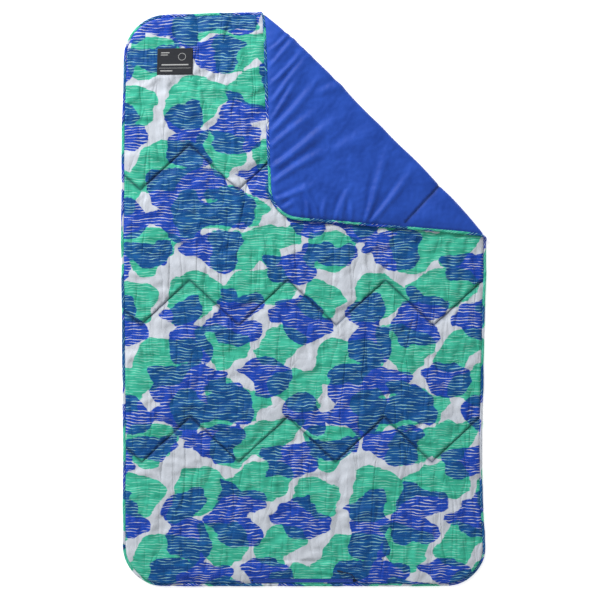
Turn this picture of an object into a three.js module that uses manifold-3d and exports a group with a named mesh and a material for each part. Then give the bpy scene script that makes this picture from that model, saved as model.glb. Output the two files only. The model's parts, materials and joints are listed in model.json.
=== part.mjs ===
// Quilted camp blanket, lying face up with its top right corner folded down over the face.
// Millimetres. +X is across the width, +Y along the length, +Z up from the surface it lies on.
import * as THREE from 'three';
import { mergeVertices } from 'three/addons/utils/BufferGeometryUtils.js';
import Module from 'manifold-3d';

// The blanket
const WIDTH = 1270;
const LENGTH = 2010;
const LOFT = 17; // thickness of the quilt away from its rim
const FABRIC = 0.8; // one layer of shell fabric
const GAP = 0.3; // between pieces that touch
const SLOPE = 59; // width over which the quilt thins towards its rim
const CORNER_RADIUS = 145;
const PIPING_WIDTH = 7;
const PIPING_HEIGHT = 5;

// The folded corner. The fold line is x + y = FOLD_SUM.
const FOLD_SUM = 855;
const LAYER_GAP = 3; // between the face and the corner lying on it
const FLAP_CORNER_RADIUS = 115;
const FLAP_PULL_X = 60; // how far slack in the quilt draws the folded corner in
const FLAP_PULL_Y = 33;
const BEND_END_MARGIN = 22; // between the bend's layers and the piping round it
const BEND_BULGE = 1.6; // how far the round bend would carry the piping past the rim
const BEND_PIPING_STEPS = 14;
const BEND_PIPING_TRIM = 0.05; // share of the piping's way round left free at each end

// Zigzag quilting
const ZIGZAG_PERIOD = 341;
const ZIGZAG_HALF_HEIGHT = 79;
const ZIGZAG_PEAK_X = -57;
const ROW_Y = [458, -14, -492];
const THREAD_WIDTH = 1.6;
const THREAD_HEIGHT = 0.8;
const ROW_END_INSET = 68;
const FOLDED_ROW_END = 340; // the top row runs into the fold here
const CORNER_RUN_START = [448, 371];
const CORNER_RUN_END = [352, 283];

// Woven label
const LABEL_WIDTH = 125;
const LABEL_HEIGHT = 96;
const LABEL_THICKNESS = 0.6;
const LABEL_X = -454;
const LABEL_Y = 830;
const LABEL_SEAM_INSET = 3;
const LABEL_SEAM_WIDTH = 1;
const LABEL_SEAM_HEIGHT = 0.5;

// Pocket zip along the bottom rim
const ZIP_LENGTH = 360;
const ZIP_Y = -984;
const ZIP_Z = 9.2; // middle of the tapes
const SLOT_LENGTH = 372;
const SLOT_WIDTH = 14;
const TAPE_WIDTH = 3.5;
const COIL_SIZE = 2;
const SLIT = 1.6; // between the two coils
const SLIDER_LENGTH = 10;
const SLIDER_WIDTH = 9;
const SLIDER_PLATE = 1.2;
const SLIDER_WEB = 0.8;
const SLIDER_X = 174;
const SLIDER_CLEARANCE = 0.4;
const BAIL_INNER_WIDTH = 5;
const BAIL_INNER_HEIGHT = 4.4;
const BAIL_THICKNESS = 1.2;
const BAIL_DEPTH = 3;
const STOP_LENGTH = 3;

// Stuff pocket behind the zip, lying flat and empty on the back panel
const POCKET_WIDTH = 366;
const POCKET_DEPTH = 230;
const POCKET_THICKNESS = 1.2;

// Pull cord: from the slider's bail, up on to the face, to its moulded grip
const CORD_DIAMETER = 3.5;
const CORD_STEPS = 9;
const CORD_ROUTE = [
  [174, -984, 14.1],
  [174, -980.5, 14.8],
  [173.5, -976, 16.2],
  [172, -971, 17.4],
  [169, -966.5, 18.3],
  [164, -962.5, 18.8],
  [158, -959.5, 19.1],
  [151, -957, 19.2],
  [143, -955, 19.2],
  [135, -953.2, 19.2],
];
const GRIP_LENGTH = 22;
const GRIP_DIAMETER = 5.5;

// Values worked out from the sizes above
const ROOT2 = Math.SQRT2;
const FOLD_Z = LOFT + LAYER_GAP / 2;
const FOLD_U = FOLD_SUM / ROOT2; // distance of the fold from the origin, along x + y
const BEND_U = FOLD_U - FOLD_Z; // centre line of the round bend
const BEND_LENGTH = Math.PI * (LAYER_GAP + LOFT) / 2; // flat width of the quilt in the bend
const TURN_U = BEND_U + BEND_LENGTH / 2; // half a turn about this line folds the flat corner down
const PANEL_INSET = PIPING_WIDTH + GAP;
const FACE_Z = LOFT + GAP; // things sewn on the face lie here
const FLAP_BACK_Z = 2 * FOLD_Z + GAP; // things sewn on the folded corner lie here

const COLOURS = {
  print: 0x4aa08f,
  back: 0x37599a,
  blue: 0x2f55b0,
  batting: 0xe8e8e4,
  thread: 0x3f8f8a,
  label: 0x33363c,
  zip: 0x2c52b4,
  slider: 0x23304a,
  cord: 0x1b2740,
};

const wasm = await Module();
wasm.setup();

const blanket = new THREE.Group();

function addPart(name, geometry, colour, roughness = 0.85) {
  const material = new THREE.MeshStandardMaterial({ color: colour, roughness, metalness: 0 });
  const mesh = new THREE.Mesh(geometry, material);
  mesh.name = name;
  blanket.add(mesh);
}

function toSolid(geometry) {
  geometry.deleteAttribute('normal');
  geometry.deleteAttribute('uv');
  const merged = mergeVertices(geometry, 1e-4);
  return new wasm.Manifold(new wasm.Mesh({
    numProp: 3,
    vertProperties: merged.attributes.position.array,
    triVerts: Uint32Array.from(merged.index.array),
  }));
}

function toGeometry(solid) {
  const mesh = solid.getMesh();
  const geometry = new THREE.BufferGeometry();
  geometry.setAttribute('position', new THREE.BufferAttribute(mesh.vertProperties, 3));
  geometry.setIndex(new THREE.BufferAttribute(mesh.triVerts, 1));
  geometry.computeVertexNormals();
  return geometry;
}

function box(x0, x1, y0, y1, z0, z1) {
  const geometry = new THREE.BoxGeometry(x1 - x0, y1 - y0, z1 - z0);
  return geometry.translate((x0 + x1) / 2, (y0 + y1) / 2, (z0 + z1) / 2);
}

function plate(shape, z0, z1, curveSegments = 6) {
  const options = { depth: z1 - z0, bevelEnabled: false, curveSegments };
  return new THREE.ExtrudeGeometry(shape, options).translate(0, 0, z0);
}

// Corners of the open blanket, anticlockwise: x, y and radius.
// The two without a radius lie on the fold.
const CORNERS = [
  [-WIDTH / 2, -LENGTH / 2, CORNER_RADIUS],
  [WIDTH / 2, -LENGTH / 2, CORNER_RADIUS],
  [WIDTH / 2, FOLD_SUM - WIDTH / 2, 0],
  [WIDTH / 2 - FLAP_PULL_X, LENGTH / 2 - FLAP_PULL_Y, FLAP_CORNER_RADIUS],
  [FOLD_SUM - LENGTH / 2, LENGTH / 2, 0],
  [-WIDTH / 2, LENGTH / 2, CORNER_RADIUS],
];

// The blanket's outline, drawn in by an inset.
function outline(inset) {
  const shape = new THREE.Shape();
  CORNERS.forEach(([x, y, radius], i) => {
    const before = CORNERS[(i + CORNERS.length - 1) % CORNERS.length];
    const after = CORNERS[(i + 1) % CORNERS.length];
    const start = Math.atan2(y - before[1], x - before[0]) - Math.PI / 2;
    let turn = Math.atan2(after[1] - y, after[0] - x) - Math.PI / 2 - start;
    turn = (turn + 4 * Math.PI) % (2 * Math.PI);
    const middle = start + turn / 2;
    const reach = Math.max(radius, inset) / Math.cos(turn / 2);
    const cx = x - reach * Math.cos(middle);
    const cy = y - reach * Math.sin(middle);
    if (radius > inset) {
      shape.absarc(cx, cy, radius - inset, start, start + turn, false);
    } else {
      shape.lineTo(cx, cy);
    }
  });
  shape.closePath();
  return shape;
}

// A quilt with an elliptical rim, as high as top, whose widest outline is at rimInset.
function pillow(rimInset, top) {
  const options = {
    depth: 1,
    bevelSize: SLOPE,
    bevelThickness: top - 0.5,
    bevelSegments: 5,
    curveSegments: 6,
  };
  const geometry = new THREE.ExtrudeGeometry(outline(rimInset + SLOPE), options);
  return toSolid(geometry.translate(0, 0, -0.5));
}

const SLAB = 4000; // larger than the blanket, for cutting

function slabAbove(z0, z1) {
  return toSolid(box(-SLAB / 2, SLAB / 2, -SLAB / 2, SLAB / 2, z0, z1));
}

// A block on one side of a line parallel to the fold: side -1 is towards the origin.
function halfBlanket(u, side) {
  const centre = (u + side * SLAB / 2) / ROOT2;
  const geometry = new THREE.BoxGeometry(SLAB, SLAB, SLAB).rotateZ(Math.PI / 4);
  return toSolid(geometry.translate(centre, centre, 0));
}

// Turns a geometry from open flat to folded down on the face.
function foldDown(geometry) {
  const line = new THREE.Vector3(TURN_U / ROOT2, TURN_U / ROOT2, FOLD_Z);
  const axis = new THREE.Vector3(-1, 1, 0).normalize();
  geometry.translate(-line.x, -line.y, -line.z);
  geometry.applyMatrix4(new THREE.Matrix4().makeRotationAxis(axis, Math.PI));
  return geometry.translate(line.x, line.y, line.z);
}

// The shell, the batting and the piping of the open blanket
const outer = pillow(PANEL_INSET, LOFT);
const inner = pillow(PANEL_INSET + FABRIC, LOFT - FABRIC);
const fill = pillow(PANEL_INSET + FABRIC + GAP, LOFT - FABRIC - GAP);
const pipingShape = outline(0);
pipingShape.holes.push(outline(PIPING_WIDTH));

const layers = {
  face_panel: outer.subtract(inner).intersect(slabAbove(FABRIC + GAP, SLAB)),
  back_panel: outer.intersect(slabAbove(0, FABRIC)),
  batting: fill.intersect(slabAbove(FABRIC + GAP, SLAB)),
  piping: toSolid(plate(pipingShape, 0, PIPING_HEIGHT)),
};
const layerColours = {
  face_panel: COLOURS.print,
  back_panel: COLOURS.blue,
  batting: COLOURS.batting,
  piping: COLOURS.back,
};

// The slot for the zip and the room for the pocket, cut out of the face and the batting
const slot = toSolid(box(
  -SLOT_LENGTH / 2, SLOT_LENGTH / 2,
  ZIP_Y - SLOT_WIDTH / 2, ZIP_Y + SLOT_WIDTH / 2,
  FABRIC + GAP / 2, LOFT + 1,
));
const pocketTop = FABRIC + GAP + POCKET_THICKNESS;
const pocketY = ZIP_Y - SLOT_WIDTH / 2;
const pocketRoom = toSolid(box(
  -POCKET_WIDTH / 2 - GAP, POCKET_WIDTH / 2 + GAP,
  pocketY - GAP, pocketY + POCKET_DEPTH + GAP,
  0, pocketTop + GAP,
));
layers.face_panel = layers.face_panel.subtract(slot);
layers.batting = layers.batting.subtract(slot).subtract(pocketRoom);

const mainSide = halfBlanket(BEND_U - GAP / 2, -1);
const flapSide = halfBlanket(BEND_U + BEND_LENGTH + GAP / 2, 1);
for (const [name, solid] of Object.entries(layers)) {
  addPart(`main_${name}`, toGeometry(solid.intersect(mainSide)), layerColours[name]);
  addPart(`corner_${name}`, foldDown(toGeometry(solid.intersect(flapSide))), layerColours[name]);
}

// The round bend between the main part and the corner: half rings run along the fold.
const bendLayers = [
  ['bend_face_panel', LAYER_GAP / 2, LAYER_GAP / 2 + FABRIC, COLOURS.print],
  ['bend_batting', LAYER_GAP / 2 + FABRIC + GAP, FOLD_Z - FABRIC - GAP, COLOURS.batting],
  ['bend_back_panel', FOLD_Z - FABRIC, FOLD_Z, COLOURS.blue],
];

// Places of the bend's two ends along the fold, at the main side
const bendEndRight = BEND_U - WIDTH / ROOT2;
const bendEndTop = LENGTH / ROOT2 - BEND_U;

function bendRing(innerRadius, outerRadius) {
  const shape = new THREE.Shape();
  shape.absarc(0, 0, outerRadius, -Math.PI / 2, Math.PI / 2, false);
  shape.absarc(0, 0, innerRadius, Math.PI / 2, -Math.PI / 2, true);
  shape.closePath();
  const start = bendEndRight + BEND_LENGTH + BEND_END_MARGIN;
  const end = bendEndTop - BEND_LENGTH - BEND_END_MARGIN;
  const ring = new THREE.ExtrudeGeometry(shape, {
    depth: end - start,
    bevelEnabled: false,
    curveSegments: 5,
  });
  const across = new THREE.Vector3(1, 1, 0).normalize();
  const up = new THREE.Vector3(0, 0, 1);
  const back = new THREE.Vector3().crossVectors(across, up);
  const place = new THREE.Matrix4().makeBasis(across, up, back);
  place.setPosition(
    (BEND_U + end) / ROOT2 - 2 * end / ROOT2,
    (BEND_U + end) / ROOT2,
    FOLD_Z,
  );
  return ring.applyMatrix4(place);
}

for (const [name, innerRadius, outerRadius, colour] of bendLayers) {
  addPart(name, bendRing(innerRadius, outerRadius), colour);
}

// The piping round the bend: it starts at one place along the fold and drifts with the quilt.
class BendPipingCurve extends THREE.Curve {
  constructor(start, drift) {
    super();
    this.start = start;
    this.drift = drift;
  }

  getPoint(t, target = new THREE.Vector3()) {
    const share = BEND_PIPING_TRIM + (1 - 2 * BEND_PIPING_TRIM) * t;
    const angle = Math.PI * (share - 0.5);
    const radius = FOLD_Z - PIPING_HEIGHT / 2;
    const u = BEND_U + radius * Math.cos(angle);
    const v = this.start + this.drift * share;
    return target.set((u - v) / ROOT2, (u + v) / ROOT2, FOLD_Z + radius * Math.sin(angle));
  }
}

function roundSection(diameter) {
  return new THREE.Shape().absarc(0, 0, diameter / 2, 0, 2 * Math.PI, false);
}

function sweep(diameter, curve, steps) {
  const options = { steps, extrudePath: curve, curveSegments: 4 };
  return new THREE.ExtrudeGeometry(roundSection(diameter), options);
}

const pipingReach = (PIPING_WIDTH / 2 + BEND_BULGE) * ROOT2;
const bendPiping = [
  ['bend_piping_right', bendEndRight + pipingReach, BEND_LENGTH],
  ['bend_piping_top', bendEndTop - pipingReach, -BEND_LENGTH],
];
for (const [name, start, drift] of bendPiping) {
  const curve = new BendPipingCurve(start, drift);
  addPart(name, sweep(PIPING_HEIGHT, curve, BEND_PIPING_STEPS), COLOURS.back);
}

// Height of the zigzag at x, above its row's middle line
function zigzag(x) {
  const phase = (((x - ZIGZAG_PEAK_X) / ZIGZAG_PERIOD) % 1 + 1) % 1;
  return ZIGZAG_HALF_HEIGHT * (4 * Math.abs(phase - 0.5) - 1);
}

// A flat ribbon of thread along a row of zigzag quilting
function quiltingRow(rowY, x0, x1) {
  const half = ZIGZAG_PERIOD / 2;
  const first = Math.ceil((x0 - ZIGZAG_PEAK_X) / half);
  const last = Math.floor((x1 - ZIGZAG_PEAK_X) / half);
  const xs = [x0];
  for (let i = first; i <= last; i += 1) {
    xs.push(ZIGZAG_PEAK_X + i * half);
  }
  xs.push(x1);
  const lift = THREAD_WIDTH * ROOT2 / 2;
  const below = xs.map((x) => new THREE.Vector2(x, rowY + zigzag(x) - lift));
  const above = xs.map((x) => new THREE.Vector2(x, rowY + zigzag(x) + lift)).reverse();
  return plate(new THREE.Shape([...below, ...above]), FACE_Z, FACE_Z + THREAD_HEIGHT);
}

const rowStart = -WIDTH / 2 + ROW_END_INSET;
const rowEnd = WIDTH / 2 - ROW_END_INSET;
ROW_Y.forEach((rowY, i) => {
  const end = i === 0 ? FOLDED_ROW_END : rowEnd;
  addPart(`quilting_row_${i + 1}`, quiltingRow(rowY, rowStart, end), COLOURS.thread);
});

// The top row's last run shows on the back of the folded corner.
const cornerRunStart = new THREE.Vector2(...CORNER_RUN_START);
const cornerRun = new THREE.Vector2(...CORNER_RUN_END).sub(cornerRunStart);
const cornerRunGeometry = box(
  0, cornerRun.length(), -THREAD_WIDTH / 2, THREAD_WIDTH / 2, 0, THREAD_HEIGHT,
);
cornerRunGeometry.rotateZ(cornerRun.angle());
cornerRunGeometry.translate(cornerRunStart.x, cornerRunStart.y, FLAP_BACK_Z);
addPart('quilting_corner_run', cornerRunGeometry, COLOURS.blue);

// Woven label and the seam that holds it
function frameShape(width, height, band) {
  const shape = new THREE.Shape();
  const x = width / 2;
  const y = height / 2;
  shape.moveTo(-x, -y).lineTo(x, -y).lineTo(x, y).lineTo(-x, y).closePath();
  const hole = new THREE.Path();
  hole.moveTo(band - x, band - y).lineTo(x - band, band - y);
  hole.lineTo(x - band, y - band).lineTo(band - x, y - band).closePath();
  shape.holes.push(hole);
  return shape;
}

addPart('woven_label', box(
  LABEL_X - LABEL_WIDTH / 2, LABEL_X + LABEL_WIDTH / 2,
  LABEL_Y - LABEL_HEIGHT / 2, LABEL_Y + LABEL_HEIGHT / 2,
  FACE_Z, FACE_Z + LABEL_THICKNESS,
), COLOURS.label);
const seamShape = frameShape(
  LABEL_WIDTH - 2 * LABEL_SEAM_INSET,
  LABEL_HEIGHT - 2 * LABEL_SEAM_INSET,
  LABEL_SEAM_WIDTH,
);
const seamZ = FACE_Z + LABEL_THICKNESS + GAP;
const labelSeam = plate(seamShape, seamZ, seamZ + LABEL_SEAM_HEIGHT);
addPart('label_stitching', labelSeam.translate(LABEL_X, LABEL_Y, 0), COLOURS.label);

// Zip: a tape and a coil on each side of the slit
const coilTop = ZIP_Z + COIL_SIZE / 2;
const coilBottom = ZIP_Z - COIL_SIZE / 2;
for (const [name, side] of [['upper', 1], ['lower', -1]]) {
  const coilY = ZIP_Y + side * (SLIT + COIL_SIZE) / 2;
  const tapeY = ZIP_Y + side * (SLIT / 2 + COIL_SIZE + GAP + TAPE_WIDTH / 2);
  addPart(`zip_coil_${name}`, box(
    -ZIP_LENGTH / 2, ZIP_LENGTH / 2,
    coilY - COIL_SIZE / 2, coilY + COIL_SIZE / 2,
    coilBottom, coilTop,
  ), COLOURS.zip, 0.5);
  addPart(`zip_tape_${name}`, box(
    -SLOT_LENGTH / 2 + GAP, SLOT_LENGTH / 2 - GAP,
    tapeY - TAPE_WIDTH / 2, tapeY + TAPE_WIDTH / 2,
    ZIP_Z - FABRIC / 2, ZIP_Z + FABRIC / 2,
  ), COLOURS.zip);
}

for (const [name, side] of [['zip_top_stop', 1], ['zip_bottom_stop', -1]]) {
  const start = side * (ZIP_LENGTH / 2 + GAP);
  const end = start + side * STOP_LENGTH;
  addPart(name, box(
    Math.min(start, end), Math.max(start, end),
    ZIP_Y - SLIT / 2 - COIL_SIZE, ZIP_Y + SLIT / 2 + COIL_SIZE,
    coilBottom, coilTop,
  ), COLOURS.slider, 0.5);
}

// Slider: two plates joined by a web that runs in the slit, with a bail on top for the cord
const plateTop = coilTop + SLIDER_CLEARANCE + SLIDER_PLATE;
const plateBottom = coilBottom - SLIDER_CLEARANCE - SLIDER_PLATE;
function sliderBlock(width, z0, z1) {
  return toSolid(box(
    SLIDER_X - SLIDER_LENGTH / 2, SLIDER_X + SLIDER_LENGTH / 2,
    ZIP_Y - width / 2, ZIP_Y + width / 2,
    z0, z1,
  ));
}

const bailOuterHalf = BAIL_INNER_WIDTH / 2 + BAIL_THICKNESS;
const bailShape = new THREE.Shape();
bailShape.moveTo(bailOuterHalf, -0.5);
bailShape.lineTo(bailOuterHalf, BAIL_INNER_HEIGHT - BAIL_INNER_WIDTH / 2);
bailShape.absarc(0, BAIL_INNER_HEIGHT - BAIL_INNER_WIDTH / 2, bailOuterHalf, 0, Math.PI, false);
bailShape.lineTo(-bailOuterHalf, -0.5);
bailShape.closePath();
const bailHole = new THREE.Path();
bailHole.moveTo(BAIL_INNER_WIDTH / 2, 0);
bailHole.lineTo(BAIL_INNER_WIDTH / 2, BAIL_INNER_HEIGHT - BAIL_INNER_WIDTH / 2);
bailHole.absarc(0, BAIL_INNER_HEIGHT - BAIL_INNER_WIDTH / 2, BAIL_INNER_WIDTH / 2, 0, Math.PI, false);
bailHole.lineTo(-BAIL_INNER_WIDTH / 2, 0);
bailHole.closePath();
bailShape.holes.push(bailHole);
const bail = plate(bailShape, -BAIL_DEPTH / 2, BAIL_DEPTH / 2).rotateX(Math.PI / 2);
bail.translate(SLIDER_X, ZIP_Y, plateTop);
const slider = sliderBlock(SLIDER_WIDTH, plateTop - SLIDER_PLATE, plateTop)
  .add(sliderBlock(SLIDER_WIDTH, plateBottom, plateBottom + SLIDER_PLATE))
  .add(sliderBlock(SLIDER_WEB, plateBottom, plateTop))
  .add(toSolid(bail));
addPart('zip_slider', toGeometry(slider), COLOURS.slider, 0.35);

// Stuff pocket
addPart('stuff_pocket', box(
  -POCKET_WIDTH / 2, POCKET_WIDTH / 2,
  pocketY, pocketY + POCKET_DEPTH,
  FABRIC + GAP, pocketTop,
), COLOURS.blue);

// Pull cord and its grip
const cordPoints = CORD_ROUTE.map(([x, y, z]) => new THREE.Vector3(x, y, z));
const cordCurve = new THREE.CatmullRomCurve3(cordPoints);
addPart('pull_cord', sweep(CORD_DIAMETER, cordCurve, CORD_STEPS), COLOURS.cord);

const cordEnd = cordPoints[cordPoints.length - 1];
const cordDirection = cordCurve.getTangent(1);
const grip = new THREE.CylinderGeometry(GRIP_DIAMETER / 2, GRIP_DIAMETER / 2, GRIP_LENGTH, 12);
grip.translate(0, GRIP_LENGTH / 2 + GAP, 0);
grip.applyQuaternion(new THREE.Quaternion().setFromUnitVectors(
  new THREE.Vector3(0, 1, 0),
  cordDirection.setZ(0).normalize(),
));
grip.translate(cordEnd.x, cordEnd.y, cordEnd.z + 1);
addPart('cord_grip', grip, COLOURS.cord, 0.5);

export default blanket;
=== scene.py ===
import json
import math

import bpy
import numpy as np
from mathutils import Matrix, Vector
from mathutils.geometry import delaunay_2d_cdt


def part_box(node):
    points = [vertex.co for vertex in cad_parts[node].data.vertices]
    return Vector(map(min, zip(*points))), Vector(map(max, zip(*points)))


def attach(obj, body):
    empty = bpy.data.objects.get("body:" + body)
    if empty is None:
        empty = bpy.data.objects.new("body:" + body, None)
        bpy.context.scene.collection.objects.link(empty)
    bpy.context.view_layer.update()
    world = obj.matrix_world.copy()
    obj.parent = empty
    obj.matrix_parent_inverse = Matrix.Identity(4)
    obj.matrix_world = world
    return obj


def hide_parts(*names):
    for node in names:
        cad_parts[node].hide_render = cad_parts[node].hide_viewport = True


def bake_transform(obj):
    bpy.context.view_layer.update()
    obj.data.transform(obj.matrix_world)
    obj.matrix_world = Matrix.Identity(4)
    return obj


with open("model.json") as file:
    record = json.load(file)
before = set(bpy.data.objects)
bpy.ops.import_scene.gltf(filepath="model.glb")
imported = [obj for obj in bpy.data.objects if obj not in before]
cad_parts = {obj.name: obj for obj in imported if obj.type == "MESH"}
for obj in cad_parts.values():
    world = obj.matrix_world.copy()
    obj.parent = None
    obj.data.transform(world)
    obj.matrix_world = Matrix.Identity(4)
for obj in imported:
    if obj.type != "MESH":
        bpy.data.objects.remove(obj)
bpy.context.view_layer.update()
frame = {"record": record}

record = frame["record"]
scene = bpy.context.scene
random = np.random.default_rng(7)

# Sizes, in metres. The blanket is made flat, then its corner is carried round the fold.
ROOT2 = math.sqrt(2)
HALF_WIDTH, HALF_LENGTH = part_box("main_piping")[1][:2]
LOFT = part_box("main_face_panel")[1][2]
FOLD_Z = next(j for j in record["behaviour"]["joints"] if j["type"] == "hinge")["pos_m"][2]
FOLD_SUM = 0.855  # the fold line is x + y = FOLD_SUM
BEND_U = FOLD_SUM / ROOT2 - FOLD_Z
BEND_MIDDLE = 0.54  # radius at which the bend keeps its flat length, as a share of FOLD_Z
BEND_LENGTH = math.pi * FOLD_Z * BEND_MIDDLE
FOLD_MIDDLE = (HALF_LENGTH - HALF_WIDTH) / ROOT2
FOLD_HALF = (HALF_LENGTH + HALF_WIDTH - FOLD_SUM) / ROOT2
CORNER_RADIUS = 0.145
FLAP_RADIUS = 0.112
FLAP_PULL = (0.066, 0.035)
TOP_FALL = 0.004
BOW = 0.011  # how far the middle of the fold stands out
BOW_REACH = 0.08
SLACK_LEFT = (-0.9, -0.45, 0.2, 0.6, 0.9), (0, 0.001, -0.006, -0.003, 0.006)  # y, shift along x
SLACK_RIGHT = (-0.9, -0.7, -0.5, -0.2, 0.1), (0, -0.012, -0.014, -0.008, 0)
SLACK_TOP = 0.011

# Quilting
PERIOD = 0.341
PEAK_X = -0.057
ZIG_HALF = 0.079
ROWS = (0.458, -0.014, -0.492)
SEAM_END = 0.012
SEAM_SHOULDER = 0.0035
SEAM_SHADE_REACH = 0.0075  # half width of the painted shade along the quilting
STITCH_PITCH = 0.0044
STITCH_LENGTH = 0.0034
STITCH_RADIUS = 0.00055
DIP_NARROW = 0.55, 0.0052  # share and reach of the sharp part of a seam's dip
DIP_WIDE = 0.45, 0.034  # the same for its soft part

# Heights of the sheets above the back, in the flat blanket
FACE_MAX = FOLD_Z - 0.0008
FIELD = LOFT - 0.0025
RIM_MAIN = 0.0032
RIM_FLAP = 0.0135
RIM_INSET = 0.009
RIM_THICKNESS = 0.0016
RIM_WIDTH = 0.052
FACE_LEVEL = FIELD, LOFT - 0.001  # on the main part and on the corner, as the three pairs below
FACE_DIP = 0.0102, 0.0030
BACK_LEVEL = 0.0006, 0.0012
BACK_DIP = 0.0019, 0.0085
PIPING_HALF = (0.0056, 0.0031)  # half width and half height of the welt
BACK_MAX = 0.0028
BACK_MAX_FLAP = 0.0155
BACK_UNDER_POCKET = 0.0009
FILL_GAP = 0.0042  # between a sheet and the batting, for creases
FLAP_FILL_GAP = 0.0078  # the same under the back where it lies on top
CREASE_MAX = 0.0036
FLAP_CREASE = 0.0065

# Zip slot in the face
TAPES_LOW, TAPES_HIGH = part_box("zip_tape_lower")[0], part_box("zip_tape_upper")[1]
SLOT = TAPES_LOW[0] - 0.0005, TAPES_HIGH[0] + 0.0005, TAPES_LOW[1] - 0.0004, TAPES_HIGH[1] + 0.0004
ZIP_Y = (SLOT[2] + SLOT[3]) / 2
SLOT_Z = (0.0094, 0.0108)
SLOT_FALL = 0.03  # how far round the slot the face is drawn down
CORD_BED = (-0.26, 0.19, -0.972, -0.930)  # the cord lies and slides here
CORD_BED_LIFT = 0.0012

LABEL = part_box("woven_label")
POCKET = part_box("stuff_pocket")

SPACING = 0.009
CORNER_SPACING = 0.0065
BATTING_SPACING = 0.018
CLOTH_FRAMES = 24
FACE_STREAK, BACK_STREAK = 0.0021, 0.0006  # height of the streaks that the creases start from
FACE_GROWTH, BACK_GROWTH = 0.08, 0.025
FACE_STIFFNESS, BACK_STIFFNESS = 0.4, 0.5

# The pull cord's route, as in part.mjs
CORD_ROUTE = (
    (0.174, -0.984, 0.0141), (0.174, -0.9805, 0.0148), (0.1735, -0.976, 0.0162),
    (0.172, -0.971, 0.0174), (0.169, -0.9665, 0.0183), (0.164, -0.9625, 0.0188),
    (0.158, -0.9595, 0.0191), (0.151, -0.957, 0.0192), (0.143, -0.955, 0.0192),
    (0.135, -0.9532, 0.0192),
)
CORD_DIAMETER = 0.0035
CORD_TWIST = 0.016  # length of one turn of its two strands
GRIP_LENGTH = 0.022
GRIP_RADIUS = 0.00275
GRIP_START = 0.0003
GRIP_LIFT = 0.001

# Soft folds in the corner as it lies: start x and y, heading in degrees, length, half width, height
FLAP_FOLDS = (
    (-0.12, 0.86, 50, 0.14, 0.008, 0.0050), (-0.12, 0.80, 56, 0.20, 0.009, 0.0055),
    (-0.12, 0.74, 50, 0.22, 0.009, 0.0060), (-0.12, 0.69, 46, 0.26, 0.011, 0.0062),
    (-0.12, 0.63, 52, 0.24, 0.009, 0.0060), (-0.12, 0.57, 50, 0.30, 0.012, 0.0070),
    (-0.12, 0.51, 42, 0.26, 0.011, 0.0062), (-0.12, 0.46, 33, 0.34, 0.014, 0.0085),
    (-0.12, 0.40, 28, 0.28, 0.012, 0.0075), (-0.12, 0.35, 14, 0.20, 0.011, 0.0068),
    (-0.11, 0.31, 20, 0.12, 0.008, 0.0055), (-0.07, 0.275, 128, 0.09, 0.007, 0.0055),
    (-0.04, 0.27, 116, 0.15, 0.008, 0.0070), (-0.01, 0.27, 108, 0.12, 0.007, 0.0062),
    (0.02, 0.265, 100, 0.13, 0.007, 0.0066), (0.05, 0.265, 108, 0.17, 0.008, 0.0072),
    (0.08, 0.262, 92, 0.11, 0.007, 0.0058), (0.11, 0.26, 66, 0.16, 0.008, 0.0072),
    (0.14, 0.26, 86, 0.13, 0.007, 0.0062), (0.17, 0.258, 100, 0.12, 0.007, 0.0060),
    (0.20, 0.255, 70, 0.20, 0.009, 0.0066), (0.23, 0.25, 56, 0.28, 0.011, 0.0070),
    (0.25, 0.32, 80, 0.26, 0.014, 0.0050), (0.04, 0.70, 24, 0.22, 0.018, 0.0042),
    (0.10, 0.52, 15, 0.20, 0.026, 0.0046),
)

# Generic marks on the label, from its centre: x, y, width and height of each bar, then a ring
LABEL_BARS = (
    (-0.035, 0.032, 0.030, 0.0032),
    (-0.038, 0.024, 0.024, 0.0026),
    (0.000, -0.012, 0.094, 0.0042),
    (0.000, -0.024, 0.112, 0.0010),
    (-0.030, -0.034, 0.042, 0.0034),
)
LABEL_RING = (0.024, 0.017, 0.0125, 0.0014)  # x, y, radius, width


# ---- camera

CAMERA_PLACE = (-0.0155, -0.005, 6.0)
CAMERA_LENS = 103


def make_camera():
    data = bpy.data.cameras.new("camera")
    data.lens = CAMERA_LENS
    data.sensor_width = 36
    camera = bpy.data.objects.new("camera", data)
    camera.location = CAMERA_PLACE
    scene.collection.objects.link(camera)
    scene.camera = camera


make_camera()


# ---- helpers

def add_object(name, points, faces, smooth=True):
    mesh = bpy.data.meshes.new(name)
    mesh.from_pydata([tuple(p) for p in np.asarray(points, float)], [], [tuple(f) for f in faces])
    mesh.update()
    mesh.polygons.foreach_set("use_smooth", [smooth] * len(mesh.polygons))
    piece = bpy.data.objects.new(name, mesh)
    scene.collection.objects.link(piece)
    return piece


def add_attribute(piece, name, values):
    values = np.asarray(values, np.float32)
    kind, key = ("FLOAT_VECTOR", "vector") if values.ndim == 2 else ("FLOAT", "value")
    attribute = piece.data.attributes.new(name, kind, "POINT")
    attribute.data.foreach_set(key, values.ravel())


def joined(parts):
    """Several point and face lists as one."""
    points, faces, start = [], [], 0
    for own_points, own_faces in parts:
        points.append(np.asarray(own_points, float))
        faces += [tuple(i + start for i in face) for face in own_faces]
        start += len(own_points)
    return np.vstack(points), faces


def smoothstep(low, high, value):
    t = np.clip((value - low) / (high - low), 0, 1)
    return t * t * (3 - 2 * t)


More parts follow.
